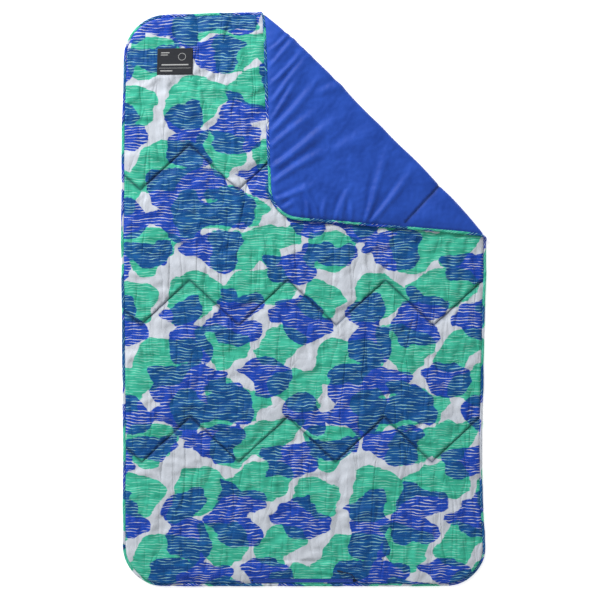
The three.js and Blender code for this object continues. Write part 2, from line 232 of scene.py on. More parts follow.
def value_noise(x, y, seed):
    """Smooth noise from -1 to 1, one cell a unit."""
    x0, y0 = np.floor(x).astype(np.int64), np.floor(y).astype(np.int64)
    fx, fy = smoothstep(0, 1, x - x0), smoothstep(0, 1, y - y0)

    def corner(i, j):
        h = (i * 374761393 + j * 668265263 + seed * 974711) & 0xFFFFFFFF
        h = ((h ^ (h >> 13)) * 1274126177) & 0xFFFFFFFF
        return ((h ^ (h >> 16)) & 0xFFFF) / 32767.5 - 1

    low, high = [corner(x0, j) * (1 - fx) + corner(x0 + 1, j) * fx for j in (y0, y0 + 1)]
    return low * (1 - fy) + high * fy


def cloudy(x, y, seed):
    """Three octaves of noise."""
    total = 0
    for octave in range(3):
        scale = 2 ** octave
        total = total + value_noise(x * scale, y * scale, seed + octave) / scale
    return total


def distance_to(points, line):
    """Distance from each point to a polyline."""
    best = np.full(len(points), 1e9)
    for a, b in zip(line[:-1], line[1:]):
        run = b - a
        length = math.hypot(*run)
        if length < 1e-9:
            continue
        t = np.clip(((points - a) @ run) / length ** 2, 0, 1)
        best = np.minimum(best, np.linalg.norm(points - a - t[:, None] * run, axis=1))
    return best


def footprint(box):
    """The x and y limits of a box from the frame."""
    return box[0][0], box[1][0], box[0][1], box[1][1]


def box_gap(points, x0, x1, y0, y1):
    """Distance from each point to a rectangle, 0 inside it."""
    dx = np.maximum(np.maximum(x0 - points[:, 0], points[:, 0] - x1), 0)
    dy = np.maximum(np.maximum(y0 - points[:, 1], points[:, 1] - y1), 0)
    return np.hypot(dx, dy)


def travelled(line):
    """Distance along a line at each of its points."""
    return np.concatenate([[0], np.cumsum(np.linalg.norm(np.diff(line, axis=0), axis=1))])


def resample(line, step):
    """The polyline's own corners, and points between them about a step apart."""
    points = []
    for a, b in zip(line[:-1], line[1:]):
        count = max(1, round(math.hypot(*(b - a)) / step))
        points += [a + (b - a) * i / count for i in range(count)]
    points.append(line[-1])
    return np.array(points)


def curve_through(points, steps):
    """A Catmull-Rom curve through the points."""
    points = np.asarray(points, float)
    padded = np.vstack([2 * points[0] - points[1], points, 2 * points[-1] - points[-2]])
    out = []
    for i in range(1, len(padded) - 2):
        before, a, b, after = padded[i - 1:i + 3]
        for t in np.arange(steps) / steps:
            out.append(0.5 * (
                2 * a + (b - before) * t
                + (2 * before - 5 * a + 4 * b - after) * t ** 2
                + (3 * a - before - 3 * b + after) * t ** 3
            ))
    out.append(points[-1])
    return np.array(out)


def side_vectors(path):
    """Two unit vectors across the path at each point, with no twist along it."""
    ahead = np.gradient(path, axis=0)
    ahead /= np.linalg.norm(ahead, axis=1)[:, None]
    side = np.cross(ahead[0], (0.0, 0.3, 1.0))
    sides = []
    for direction in ahead:
        side = side - direction * (side @ direction)
        side /= np.linalg.norm(side)
        sides.append(side)
    sides = np.array(sides)
    return sides, np.cross(ahead, sides)


def band_faces(loops, count):
    """Faces between closed loops of count points, with the last loop joined to the first."""
    faces = []
    for k in range(loops):
        m = (k + 1) % loops
        for i in range(count):
            j = (i + 1) % count
            faces.append((k * count + i, k * count + j, m * count + j, m * count + i))
    return faces


def tube(path, radii, count):
    """A closed tube along a path."""
    path = np.asarray(path, float)
    side, up = side_vectors(path)
    radii = np.broadcast_to(radii, len(path))[:, None, None]
    angles = np.arange(count) * 2 * math.pi / count
    ring = np.cos(angles)[None, :, None] * side[:, None] + np.sin(angles)[None, :, None] * up[:, None]
    points = (path[:, None] + ring * radii).reshape(-1, 3)
    caps = [tuple(range(count))[::-1], tuple(range(len(points) - count, len(points)))]
    return points, band_faces(len(path), count)[:-count] + caps


def slab(x_range, y_range, counts, top, bottom):
    """A closed sheet over a rectangle, between two height functions."""
    x, y = np.meshgrid(np.linspace(*x_range, counts[0] + 1), np.linspace(*y_range, counts[1] + 1))
    grid = np.column_stack([x.ravel(), y.ravel()])
    across, n = counts[0] + 1, len(grid)
    faces = []
    for j in range(counts[1]):
        for i in range(counts[0]):
            a = j * across + i
            quad = (a, a + 1, a + across + 1, a + across)
            faces += [quad, tuple(k + n for k in quad[::-1])]
    index = np.arange(n).reshape(-1, across)
    rim = [*index[0], *index[1:, -1], *index[-1, -2::-1], *index[-2:0:-1, 0]]
    for a, b in zip(rim, rim[1:] + rim[:1]):
        faces.append((b, a, a + n, b + n))
    points = np.vstack([np.column_stack([grid, top(grid)]), np.column_stack([grid, bottom(grid)])])
    return points, faces


# ---- pull cord

cord_path = curve_through(CORD_ROUTE, 4)


def make_cord():
    """Two strands laid round each other."""
    side, up = side_vectors(cord_path)
    strands = []
    for start in (0, math.pi):
        angle = (start + travelled(cord_path) * 2 * math.pi / CORD_TWIST)[:, None]
        middle = cord_path + (np.cos(angle) * side + np.sin(angle) * up) * CORD_DIAMETER / 4
        strands.append(tube(curve_through(middle, 3), CORD_DIAMETER / 4 * 1.04, 10))
    return add_object("pull_cord_strands", *joined(strands))


def make_grip():
    """A moulded end with ribs, rounded at both ends and narrower at the cord."""
    end, before = cord_path[-1], cord_path[-2]
    heading = (end - before) * (1, 1, 0)
    heading /= np.linalg.norm(heading)
    start = end + (0, 0, GRIP_LIFT)
    along = np.linspace(0, 1, 56)
    rib = 0.5 + 0.5 * np.cos(along * 7 * 2 * math.pi)
    ribbed = smoothstep(0.16, 0.24, along) * (1 - smoothstep(0.80, 0.86, along))
    body = 1 - 0.17 * ribbed * (1 - rib) - 0.22 * (1 - smoothstep(0.02, 0.2, along))
    ends = np.sqrt(np.clip(1 - (1 - np.minimum(along, 1 - along) / 0.07) ** 2, 0.04, 1))
    ends[(along > 0.07) & (along < 0.93)] = 1
    path = start + heading * (GRIP_START + along * GRIP_LENGTH)[:, None]
    return add_object("ribbed_cord_grip", *tube(path, GRIP_RADIUS * body * ends, 20))


cord = make_cord()
grip = make_grip()


# ---- the flat blanket

CORNERS = (
    (-HALF_WIDTH, -HALF_LENGTH, CORNER_RADIUS),
    (HALF_WIDTH, -HALF_LENGTH, CORNER_RADIUS),
    (HALF_WIDTH, FOLD_SUM - HALF_WIDTH, 0),
    (HALF_WIDTH - FLAP_PULL[0], HALF_LENGTH - FLAP_PULL[1], FLAP_RADIUS),
    (FOLD_SUM - HALF_LENGTH, HALF_LENGTH - TOP_FALL, 0),
    (-HALF_WIDTH, HALF_LENGTH - TOP_FALL, CORNER_RADIUS),
)


def outline(inset, step):
    """The blanket's rim, drawn in by an inset, as a closed line."""
    points = []
    for i, (x, y, radius) in enumerate(CORNERS):
        before, after = CORNERS[i - 1], CORNERS[(i + 1) % len(CORNERS)]
        start = math.atan2(y - before[1], x - before[0]) - math.pi / 2
        end = math.atan2(after[1] - y, after[0] - x) - math.pi / 2
        turn = (end - start) % (2 * math.pi)
        reach = max(radius, inset) / math.cos(turn / 2)
        centre = (x - reach * math.cos(start + turn / 2), y - reach * math.sin(start + turn / 2))
        if radius <= inset:
            points.append(centre)
            continue
        arc = radius - inset
        for k in range(15):
            angle = start + turn * k / 14
            points.append((centre[0] + arc * math.cos(angle), centre[1] + arc * math.sin(angle)))
    points.append(points[0])
    return resample(np.array(points), step)


def zigzag(row, shift, step):
    """One row of quilting, moved up the cloth by a shift."""
    first = -HALF_WIDTH + SEAM_END
    last = HALF_WIDTH - SEAM_END
    if row == ROWS[0]:
        last -= FLAP_PULL[0] * 0.55
    turns = [PEAK_X + PERIOD / 2 * k for k in range(-5, 6)]
    xs = np.array([first] + [x for x in turns if first < x < last] + [last])
    phase = ((xs - PEAK_X) / PERIOD) % 1
    line = np.column_stack([xs, row + ZIG_HALF * (4 * abs(phase - 0.5) - 1) + shift])
    return resample(line, step)


rim_line = outline(0, 1)
seam_lines = [zigzag(row, 0, 1) for row in ROWS]


def lattice(spacing):
    """Points of a triangular lattice over the whole blanket."""
    rows = np.arange(-HALF_LENGTH, HALF_LENGTH, spacing * math.sqrt(3) / 2)
    columns = np.arange(-HALF_WIDTH, HALF_WIDTH, spacing)
    x, y = np.meshgrid(columns, rows)
    x = x + (np.arange(len(rows)) % 2)[:, None] * spacing / 2
    points = np.column_stack([x.ravel(), y.ravel()])
    return points + random.uniform(-0.12, 0.12, points.shape) * spacing


def free_points(spacing, corner_spacing, bend_rows):
    """A lattice on the main part, a finer one on the corner, and even rows across the bend."""
    main, corner = lattice(spacing), lattice(corner_spacing)
    main = main[main.sum(1) / ROOT2 < BEND_U - 0.45 * spacing]
    corner = corner[corner.sum(1) / ROOT2 > BEND_U + BEND_LENGTH + 0.45 * corner_spacing]
    along = np.arange(FOLD_MIDDLE - FOLD_HALF, FOLD_MIDDLE + FOLD_HALF, corner_spacing)
    bend = []
    for k in range(bend_rows):
        u_row = BEND_U + BEND_LENGTH * k / (bend_rows - 1)
        v = along + (k % 2) * corner_spacing / 2
        bend.append(np.column_stack([(u_row - v) / ROOT2, (u_row + v) / ROOT2]))
    return np.vstack([main, corner] + bend)


def triangulate(spacing, corner_spacing, bend_rows, rim, lines):
    """Triangles inside the rim, with edges along it and along the lines."""
    free = free_points(spacing, corner_spacing, bend_rows)
    for line in [rim] + lines:
        free = free[distance_to(free, line) > 0.55 * corner_spacing]
    coords, edges = [], []
    for line in [rim] + lines:
        start = len(coords)
        closed = np.allclose(line[0], line[-1])
        own = line[:-1] if closed else line
        coords += [Vector(p) for p in own]
        edges += [(start + i, start + i + 1) for i in range(len(own) - 1)]
        if closed:
            edges.append((start + len(own) - 1, start))
    coords += [Vector(p) for p in free]
    verts, _, faces, *_ = delaunay_2d_cdt(coords, edges, [list(range(len(rim) - 1))], 1, 1e-6)
    return np.array([tuple(v) for v in verts]), np.array([f[:] for f in faces])


def sheet_lines():
    """The quilting, a line each side of it, and the zip's slot."""
    lines = [zigzag(row, 0, SPACING) for row in ROWS]
    lines += [zigzag(row, side * SEAM_SHOULDER * ROOT2, SPACING) for row in ROWS for side in (-1, 1)]
    x0, x1, y0, y1 = SLOT
    corners = np.array([(x0, y0), (x1, y0), (x1, y1), (x0, y1), (x0, y0)])
    return lines + [resample(corners, SPACING)]


flat, triangles = triangulate(SPACING, CORNER_SPACING, 8, outline(RIM_INSET, SPACING), sheet_lines())


# ---- heights

def fold_share(points):
    """0 on the main part, 1 on the corner, rising round the bend."""
    return np.clip(((points[:, 0] + points[:, 1]) / ROOT2 - BEND_U) / BEND_LENGTH, 0, 1)


def both_sides(pair, share):
    """The first value on the main part, the second on the corner, and a mix round the bend."""
    return pair[0] * (1 - share) + pair[1] * share


def rim_height(share):
    return RIM_MAIN + (RIM_FLAP - RIM_MAIN) * smoothstep(0, 1, share)


def gap_to_seams(points):
    return np.minimum.reduce([distance_to(points, line) for line in seam_lines])


def layers(points, reach=0.0):
    """Heights of the face and the back before creases. A coarse mesh widens the dips by its reach."""
    share = fold_share(points)
    edge = rim_height(share)
    rim_gap = distance_to(points, rim_line) - RIM_INSET
    rise = np.sqrt(1 - (1 - np.clip(rim_gap / RIM_WIDTH, 0, 1)) ** 2)
    seam_gap = np.maximum(gap_to_seams(points) - reach, 0)
    narrow = DIP_NARROW[0] * np.exp(-seam_gap / DIP_NARROW[1])
    dip = (narrow + DIP_WIDE[0] * np.exp(-(seam_gap / DIP_WIDE[1]) ** 2)) * rise
    face = edge + (both_sides(FACE_LEVEL, share) - edge) * rise
    face += CORD_BED_LIFT * (1 - smoothstep(0, 0.02, box_gap(points, *CORD_BED)))
    face -= both_sides(FACE_DIP, share) * dip
    slot = np.maximum(box_gap(points, *SLOT) - reach, 0)
    near = 1 - smoothstep(0, SLOT_FALL, slot)
    low = SLOT_Z[0] + (SLOT_Z[1] - SLOT_Z[0]) * smoothstep(SLOT[2], SLOT[3], points[:, 1])
    face = face * (1 - near) + np.minimum(face, low) * near
    face[slot == 0] = low[slot == 0]
    back = (edge - RIM_THICKNESS) * (1 - rise) + both_sides(BACK_LEVEL, share) * rise
    back += both_sides(BACK_DIP, share) * dip
    return face, back


# ---- cloth simulation

def relax(points, hold, growth, stiffness):
    """Blender's cloth on one sheet: it grows, and buckles against springs that hold its shape."""
    piece = add_object("sheet_in_simulation", points, triangles)
    group = piece.vertex_groups.new(name="hold")
    for level in np.unique(hold):
        group.add([int(i) for i in np.flatnonzero(hold == level)], float(level), "REPLACE")
    cloth = piece.modifiers.new("Cloth", "CLOTH")
    settings = {
        "quality": 5, "mass": 0.02, "air_damping": 2, "tension_stiffness": 12, "shear_stiffness": 4,
        "compression_stiffness": 12, "bending_stiffness": stiffness, "vertex_group_mass": "hold",
        "pin_stiffness": 1, "shrink_min": -growth,
    }
    for name, value in settings.items():
        setattr(cloth.settings, name, value)
    cloth.settings.effector_weights.gravity = 0
    cloth.collision_settings.use_collision = False
    cloth.collision_settings.use_self_collision = False
    cloth.point_cache.frame_end = CLOTH_FRAMES
    for number in range(1, CLOTH_FRAMES + 1):
        scene.frame_set(number)
    graph = bpy.context.evaluated_depsgraph_get()
    result = np.empty(len(points) * 3)
    piece.evaluated_get(graph).data.vertices.foreach_get("co", result)
    scene.frame_set(1)
    bpy.data.objects.remove(piece, do_unlink=True)
    return result.reshape(-1, 3)


def smooth(values):
    """Averages each point that isn't pinned with its neighbours."""
    sides = [0, 1], [1, 2], [2, 0], [1, 0], [2, 1], [0, 2]
    pairs = np.vstack([triangles[:, side] for side in sides])
    count = np.bincount(pairs[:, 0], minlength=len(values))
    total = [np.bincount(pairs[:, 0], column[pairs[:, 1]], len(values)) for column in values.T]
    mean = np.column_stack(total) / np.maximum(count, 1)[:, None]
    return np.where(pinned[:, None], values, 0.5 * values + 0.5 * mean)


def soft_folds(points):
    """Height of the corner's folds at points of the flat blanket."""
    x, y = FOLD_SUM - points[:, 1], FOLD_SUM - points[:, 0]
    total = np.zeros(len(points))
    for x0, y0, heading, length, width, height in FLAP_FOLDS:
        angle = math.radians(heading)
        along = (x - x0) * math.cos(angle) + (y - y0) * math.sin(angle)
        across = (y - y0) * math.cos(angle) - (x - x0) * math.sin(angle)
        across += 0.010 * np.sin(along / length * 3 + heading)
        own_width = width * (0.6 + 0.9 * np.clip(along / length, 0, 1))
        fade = smoothstep(-0.01, 0.12 * length, along) * (1 - smoothstep(0.4 * length, length, along))
        ridge = np.exp(-(across / own_width) ** 2)
        valley = np.exp(-((across - 1.6 * own_width) / own_width) ** 2)
        total += height * fade * (ridge - 0.7 * valley)
    return total


def creased(base, start, hold, growth, stiffness, most, outward):
    """The sheet after simulation, with its creases kept clear of the filling."""
    done = start
    done = relax(start, hold, growth, stiffness)
    done = smooth(done)
    rise = done[:, 2] - base
    room = np.clip((face_base - back_base) / 2 - 0.0006, 0.0003, most)
    room = np.where(rise * outward > 0, most, room)
    done[:, 2] = base + room * np.tanh(rise / room)
    return done


face_base, back_base = layers(flat)
share = fold_share(flat)
on_label = box_gap(flat, *footprint(LABEL)) < 0.004
on_rim = distance_to(flat, rim_line) < RIM_INSET + 0.001
pinned = on_rim | (gap_to_seams(flat) < 0.0008) | (box_gap(flat, *SLOT) < 1e-5) | on_label
steady = (box_gap(flat, *SLOT) < 0.02) | (box_gap(flat, *CORD_BED) < 0.005)
turning = np.sin(share * np.pi) > 0.1

x, y = flat.T
streak = value_noise(x * 26 + cloudy(x * 3, y * 3, 90), y * 3.4, 11)
streak += 0.7 * value_noise((x * 0.8 + y * 0.6) * 20, (x * 0.6 - y * 0.8) * 8, 12)
streak += 0.5 * value_noise((x * 0.5 - y * 0.87) * 24, (x * 0.87 + y * 0.5) * 9, 14)
streak *= ~(pinned | turning | steady)
face_start = np.column_stack([flat, face_base + FACE_STREAK * streak])
back_start = np.column_stack([flat, back_base + BACK_STREAK * streak - share * soft_folds(flat) * ~pinned])
face_hold = np.where(pinned, 1.0, np.where(steady | turning, 0.9, 0.3)).round(2)
back_hold = np.where(pinned, 1.0, np.where(turning, 0.95, np.where(share > 0, 0.6, 0.7))).round(2)
face_done = creased(face_base, face_start, face_hold, FACE_GROWTH, FACE_STIFFNESS, CREASE_MAX, 1)
back_most = CREASE_MAX + (FLAP_CREASE - CREASE_MAX) * share
back_done = creased(back_base, back_start, back_hold, BACK_GROWTH, BACK_STIFFNESS, back_most, -1)


# ---- folding

def folded(points):
    """Flat points, with z as height above the back, carried round the fold."""
    x, y, z = np.asarray(points, float).T
    u = (x + y) / ROOT2
    v = (y - x) / ROOT2
    turn = np.clip((u - BEND_U) / BEND_LENGTH, 0, 1) * np.pi
    before = np.minimum(u - BEND_U, 0)
    beyond = np.maximum(u - BEND_U - BEND_LENGTH, 0)
    radius = FOLD_Z - z
    new_u = BEND_U + before - beyond + radius * np.sin(turn)
    new_z = FOLD_Z - radius * np.cos(turn)
    place = np.clip((v - FOLD_MIDDLE) / FOLD_HALF, -1, 1)
    bow = BOW * (1 - place ** 4) + 0.0018 * np.sin(v * 13 + 1) + 0.0008 * np.sin(v * 31)
    new_u += bow * np.exp(-np.maximum(BEND_U - new_u, 0) / BOW_REACH)
    return np.column_stack([(new_u - v) / ROOT2, (new_u + v) / ROOT2, new_z])


def settled(points):
    """Folded points, with the slack that the blanket lies in."""
    points = folded(points)
    x, y, _ = points.T.copy()
    left, right = np.interp(y, *SLACK_LEFT), np.interp(y, *SLACK_RIGHT)
    across = np.clip((x + HALF_WIDTH) / (2 * HALF_WIDTH), 0, 1)
    points[:, 0] += left * (1 - across) ** 2 + right * across ** 2
    fall = smoothstep(0.7, 1.0, y) * smoothstep(-0.15, -0.6, x)
    points[:, 1] -= SLACK_TOP * fall
    return points


over_pocket = box_gap(flat, *footprint(POCKET)) < 0.01
back_high = both_sides((np.where(over_pocket, BACK_UNDER_POCKET, BACK_MAX), BACK_MAX_FLAP), share)
back_high = np.where(on_rim, back_base, back_high)
face_done[:, 2] = np.clip(face_done[:, 2], 0.001 + 0.003 * share, FACE_MAX)
back_done[:, 2] = np.clip(back_done[:, 2], -0.0045 * share, back_high)


# ---- the print

TILE = (0.633, 0.682)
LOBE_POWER = 2.6  # 2 is an ellipse, and more is squarer
LOBE_MERGE = 0.010
EDGE_BLUR = 0.0008  # half width of a patch's edge


def patches(seed, columns, rows, size):
    """Patches of one ink on staggered rows, each a group of rounded lobes."""
    rng = np.random.default_rng(seed)
    size = np.array(size)
    found = []
    for row in range(rows):
        for column in range(columns):
            place = np.array([column + 0.5 * (row % 2), row]) + rng.uniform(-1, 1, 2) * (0.30, 0.34)
            centre = place * TILE / np.array([columns, rows])
            grow = rng.uniform(0.8, 1.15)
            lobes = [(centre, size / 2 * grow * rng.uniform(0.6, 0.95, 2), rng.uniform(-0.3, 0.3))]
            for _ in range(4):
                angle = rng.uniform(0, 2 * math.pi)
                shift = size / 2 * grow * (math.cos(angle), math.sin(angle)) * rng.uniform(0.5, 0.9)
                half = size / 2 * rng.uniform(0.26, 0.55, 2)
                lobes.append((centre + shift, half, rng.uniform(-0.6, 0.6)))
            found.append(lobes)
    return found


def ink(points, groups, seed, level=0.0):
    """About how far inside a patch each point is, in metres, and below 0 outside."""
    x, y = points.T
    x = x + 0.017 * cloudy(points[:, 0] * 11, points[:, 1] * 17, seed)
    y = y + 0.013 * cloudy(points[:, 0] * 13, points[:, 1] * 13, seed + 5)
    best = np.full(len(points), 9.0)
    for lobes in groups:
        total = 0
        for centre, half, lean in lobes:
            dx = (x - centre[0] + TILE[0] / 2) % TILE[0] - TILE[0] / 2
            dy = (y - centre[1] + TILE[1] / 2) % TILE[1] - TILE[1] / 2
            across, up = abs((dx - lean * dy) / half[0]), abs(dy / half[1])
            gap = ((across ** LOBE_POWER + up ** LOBE_POWER) ** (1 / LOBE_POWER) - 1) * min(half)
            total = total + np.exp(-np.minimum(gap, 0.3) / LOBE_MERGE)
        best = np.minimum(best, -LOBE_MERGE * np.log(total))
    return level - best


def level_for(groups, seed, cover):
    """How far the patches have to grow to cover a share of the cloth."""
    x, y = np.meshgrid(np.linspace(0, 1.2, 90), np.linspace(0, 1.8, 120))
    depth = ink(np.column_stack([x.ravel(), y.ravel()]), groups, seed)
    return -float(np.quantile(depth, 1 - cover))


BLUE = patches(25, 3, 5, (0.200, 0.135))
GREEN = patches(125, 3, 4, (0.210, 0.150))
BLUE_LEVEL = level_for(BLUE, 71, 0.55)
GREEN_LEVEL = level_for(GREEN, 81, 0.63)


def painted_seam_shade(cloth):
    """1 on the quilting, falling to 0 at the edge of the painted shade along it."""
    return np.clip(1 - gap_to_seams(cloth) / SEAM_SHADE_REACH, 0, 1)


def add_cloth(piece, cloth, seam_shade_share):
    """The cloth's own coordinates in metres, and how much painted shade it has at the quilting."""
    add_attribute(piece, "cloth", np.column_stack([cloth, np.zeros(len(cloth))]))
    add_attribute(piece, "seam", seam_shade_share)


def add_print(piece, cloth):
    """The same for printed cloth, and where the inks lie on it."""
    add_cloth(piece, cloth, painted_seam_shade(cloth))
    add_attribute(piece, "blue_ink", ink(cloth, BLUE, 71, BLUE_LEVEL))
    add_attribute(piece, "green_ink", ink(cloth, GREEN, 81, GREEN_LEVEL))


# ---- materials

class Nodes:
    """Builds one node material."""

    def __init__(self, name):
        self.material = bpy.data.materials.new(name)
        self.material.use_nodes = True
        self.tree = self.material.node_tree
        self.shader = self.tree.nodes["Principled BSDF"]

    def add(self, kind, inputs=(), **settings):
        node = self.tree.nodes.new("ShaderNode" + kind)
        for key, value in settings.items():
            setattr(node, key, value)
        for key, value in dict(inputs).items():
            self.put(node.inputs[key], value)
        return node

    def put(self, socket, value):
        if isinstance(value, bpy.types.NodeSocket):
            self.tree.links.new(value, socket)
        else:
            socket.default_value = value

    def math(self, operation, *values):
        return self.add("Math", enumerate(values), operation=operation).outputs[0]

    def attribute(self, name, output="Vector"):
        return self.add("Attribute", attribute_name=name).outputs[output]

    def stretch(self, vector, scale, rotation=0):
        inputs = {"Vector": vector, "Scale": scale, "Rotation": (0, 0, rotation)}
        return self.add("Mapping", inputs).outputs[0]

    def noise(self, vector, scale, detail=2, roughness=0.5):
        inputs = {"Vector": vector, "Scale": scale, "Detail": detail, "Roughness": roughness}
        return self.add("TexNoise", inputs).outputs["Fac"]

    def step(self, value, low, high, start=0, end=1):
        inputs = {"Value": value, "From Min": low, "From Max": high, "To Min": start, "To Max": end}
        return self.add("MapRange", inputs).outputs["Result"]

    def mix(self, factor, a, b, blend="MIX"):
        inputs = {"Factor": factor, 6: a, 7: b}
        return self.add("Mix", inputs, data_type="RGBA", blend_type=blend).outputs[2]

    def surface(self, **inputs):
        for key, value in inputs.items():
            self.put(self.shader.inputs[key.replace("_", " ")], value)

    def bump(self, height, strength, distance, normal=None):
        node = self.add("Bump", {"Height": height, "Strength": strength, "Distance": distance})
        if normal is not None:
            self.put(node.inputs["Normal"], normal)
        return node.outputs[0]


def srgb(r, g, b):
    def linear(c):
        c = c / 255
        return c / 12.92 if c <= 0.04045 else ((c + 0.055) / 1.055) ** 2.4
    return (linear(r), linear(g), linear(b), 1)


def wave(nodes, value, pitch):
    return nodes.math("SINE", nodes.math("MULTIPLY", value, 2 * math.pi / pitch))


def weave(nodes, coordinates, pitch=0.0009):
    """Height of a plain weave: threads over and under each other."""
    split = nodes.add("SeparateXYZ", {"Vector": coordinates})
    return nodes.math("MULTIPLY", wave(nodes, split.outputs[0], pitch), wave(nodes, split.outputs[1], pitch))


def reserve_lines(nodes, coordinates, spacing, width, seed):
    """1 on thin wavy dashes across the cloth, where an ink is left out."""
    moved = nodes.add("VectorMath", {0: coordinates, 1: (seed, seed * 1.7, 0)}, operation="ADD").outputs[0]
    split = nodes.add("SeparateXYZ", {"Vector": moved})
    sway = nodes.math("MULTIPLY", nodes.noise(nodes.stretch(moved, (12, 16, 1)), 1), 2.6)
    level = nodes.math("ADD", nodes.math("DIVIDE", split.outputs[1], spacing), sway)
    phase = nodes.math("ABSOLUTE", nodes.math("SUBTRACT", nodes.math("FRACT", level), 0.5))
    number = nodes.math("FLOOR", level)
    place = {"X": nodes.math("MULTIPLY", split.outputs[0], 24), "Y": nodes.math("MULTIPLY", number, 3.7)}
    gate = nodes.noise(nodes.add("CombineXYZ", place).outputs[0], 1.0, 1, 0.4)
    half = nodes.step(gate, 0.43, 0.58, 0, width / spacing / 2)
    return nodes.step(nodes.math("SUBTRACT", half, phase), -0.03, 0.03)


def packing_creases(nodes, cloth):
    """Height of the soft valleys that packing has left, most of them along the cloth."""
    total = None
    for rotation, scale, seed in ((0.0, (12, 1.6, 1), 0), (0.12, (10, 2.2, 1), 5), (0.5, (9, 3, 1), 3)):
        moved = nodes.add("VectorMath", {0: cloth, 1: (seed, seed, 0)}, operation="ADD").outputs[0]
        wave = nodes.noise(nodes.stretch(moved, scale, rotation), 1, 2, 0.4)
        valley = nodes.step(nodes.math("ABSOLUTE", nodes.math("SUBTRACT", wave, 0.5)), 0, 0.06)
        valley = nodes.math("SINE", nodes.math("MULTIPLY", valley, math.pi / 2))
        total = valley if total is None else nodes.math("MINIMUM", total, valley)
    return total


def shaded_at_seams(nodes, colour):
    """The colour, darkened with painted shade in the narrow gather of each quilted seam."""
    shade_amount = nodes.math("MULTIPLY", nodes.attribute("seam", "Fac"), SEAM_SHADE)
    return nodes.mix(shade_amount, colour, SEAM_SHADE_TONE, "MULTIPLY")


def printed_fabric(name):
    nodes = Nodes(name)
    cloth = nodes.attribute("cloth")
    ragged = nodes.step(nodes.noise(cloth, 60), 0, 1, -0.004, 0.004)
    blue_depth = nodes.math("ADD", nodes.attribute("blue_ink", "Fac"), ragged)
    green_depth = nodes.math("SUBTRACT", nodes.attribute("green_ink", "Fac"), ragged)
    blue_mask = nodes.step(blue_depth, -EDGE_BLUR, EDGE_BLUR)
    green_mask = nodes.step(green_depth, -EDGE_BLUR, EDGE_BLUR)
    blue_lines = reserve_lines(nodes, cloth, 0.0098, 0.0024, 0.3)
    green_lines = reserve_lines(nodes, cloth, 0.0086, 0.0025, 1.9)
    patchy = nodes.noise(cloth, 22, 3, 0.6)
    brushed = nodes.step(nodes.noise(nodes.stretch(cloth, (9, 70, 1)), 1, 3, 0.6), 0.3, 0.7)
    ground = nodes.mix(patchy, *GROUND)
    green = nodes.mix(brushed, *GREEN_INK)
    blue = nodes.mix(patchy, *BLUE_INK)
    teal = nodes.mix(brushed, *TEAL_INK)
    green_print = nodes.mix(nodes.math("MULTIPLY", green_lines, 0.75), green, PALE_GREEN)
    under = nodes.mix(green_mask, ground, green_print)
    over = nodes.mix(green_mask, blue, teal)
    line_colour = nodes.mix(green_mask, PALE_LINE, TEAL_LINE)
    over = nodes.mix(blue_lines, over, line_colour)
    # Painted shade along the quilting darkens the print.
    colour = shaded_at_seams(nodes, nodes.mix(blue_mask, under, over))
    roughness = nodes.step(nodes.noise(cloth, 40), 0.3, 0.7, 0.54, 0.68)
    fine = nodes.bump(weave(nodes, cloth), 0.25, 0.00012)
    crumple = nodes.noise(nodes.stretch(cloth, (60, 36, 1)), 1, 4, 0.6)
    soft = nodes.bump(crumple, 0.55, 0.0032, fine)
    nodes.surface(
        Base_Color=colour, Roughness=roughness, Specular_IOR_Level=0.2,
        Sheen_Weight=0.02, Sheen_Roughness=0.5,
        Normal=nodes.bump(packing_creases(nodes, cloth), 0.6, 0.0040, soft),
    )
    return nodes.material


def plain_fabric(name, dark, light):
    nodes = Nodes(name)
    cloth = nodes.attribute("cloth")
    tone = nodes.noise(cloth, 14, 3, 0.55)
    # Painted shade along the quilting darkens the plain cloth.
    colour = shaded_at_seams(nodes, nodes.mix(nodes.step(tone, 0.3, 0.7), dark, light))
    fine = nodes.bump(weave(nodes, cloth, 0.0007), 0.2, 0.0001)
    crumple = nodes.noise(nodes.stretch(cloth, (34, 34, 1)), 1, 3, 0.5)
    nodes.surface(
        Base_Color=colour,
        Roughness=nodes.step(tone, 0.3, 0.7, 0.52, 0.61), Specular_IOR_Level=0.25,
        Sheen_Weight=0.06, Sheen_Roughness=0.5,
        Normal=nodes.bump(crumple, 0.15, 0.0014, fine),
    )
    return nodes.material


def small_material(name, dark, light, roughness, scale=900, strength=0.3, metallic=0.0, depth=0.0002):
    """Thread, plastic or metal: two tones and a fine bump."""
    nodes = Nodes(name)
    place = nodes.add("TexCoord").outputs["Object"]
    grain = nodes.noise(place, scale, 3, 0.6)
    nodes.surface(
        Base_Color=nodes.mix(grain, srgb(*dark), srgb(*light)),
        Roughness=nodes.step(grain, 0.3, 0.7, roughness - 0.06, roughness + 0.06),
        Metallic=metallic,
        Normal=nodes.bump(grain, strength, depth),
    )
    return nodes.material


def ribbed_material(name, dark, light, pitch, axis, roughness, depth):
    """Woven tape or label: fine ribs along one axis, crossed by finer ones."""
    nodes = Nodes(name)
    place = nodes.add("TexCoord").outputs["Object"]
    split = nodes.add("SeparateXYZ", {"Vector": place})
    cross = wave(nodes, split.outputs[1 - axis], pitch / 1.6)
    height = nodes.math("ADD", wave(nodes, split.outputs[axis], pitch), nodes.math("MULTIPLY", cross, 0.6))
    tone = nodes.step(nodes.math("ADD", height, nodes.noise(place, 300)), -1.2, 2.2)
    nodes.surface(
        Base_Color=nodes.mix(tone, srgb(*dark), srgb(*light)),
        Roughness=nodes.step(tone, 0, 1, roughness + 0.08, roughness - 0.05),
        Sheen_Weight=0.1,
        Normal=nodes.bump(height, 0.35, depth),
    )
    return nodes.material


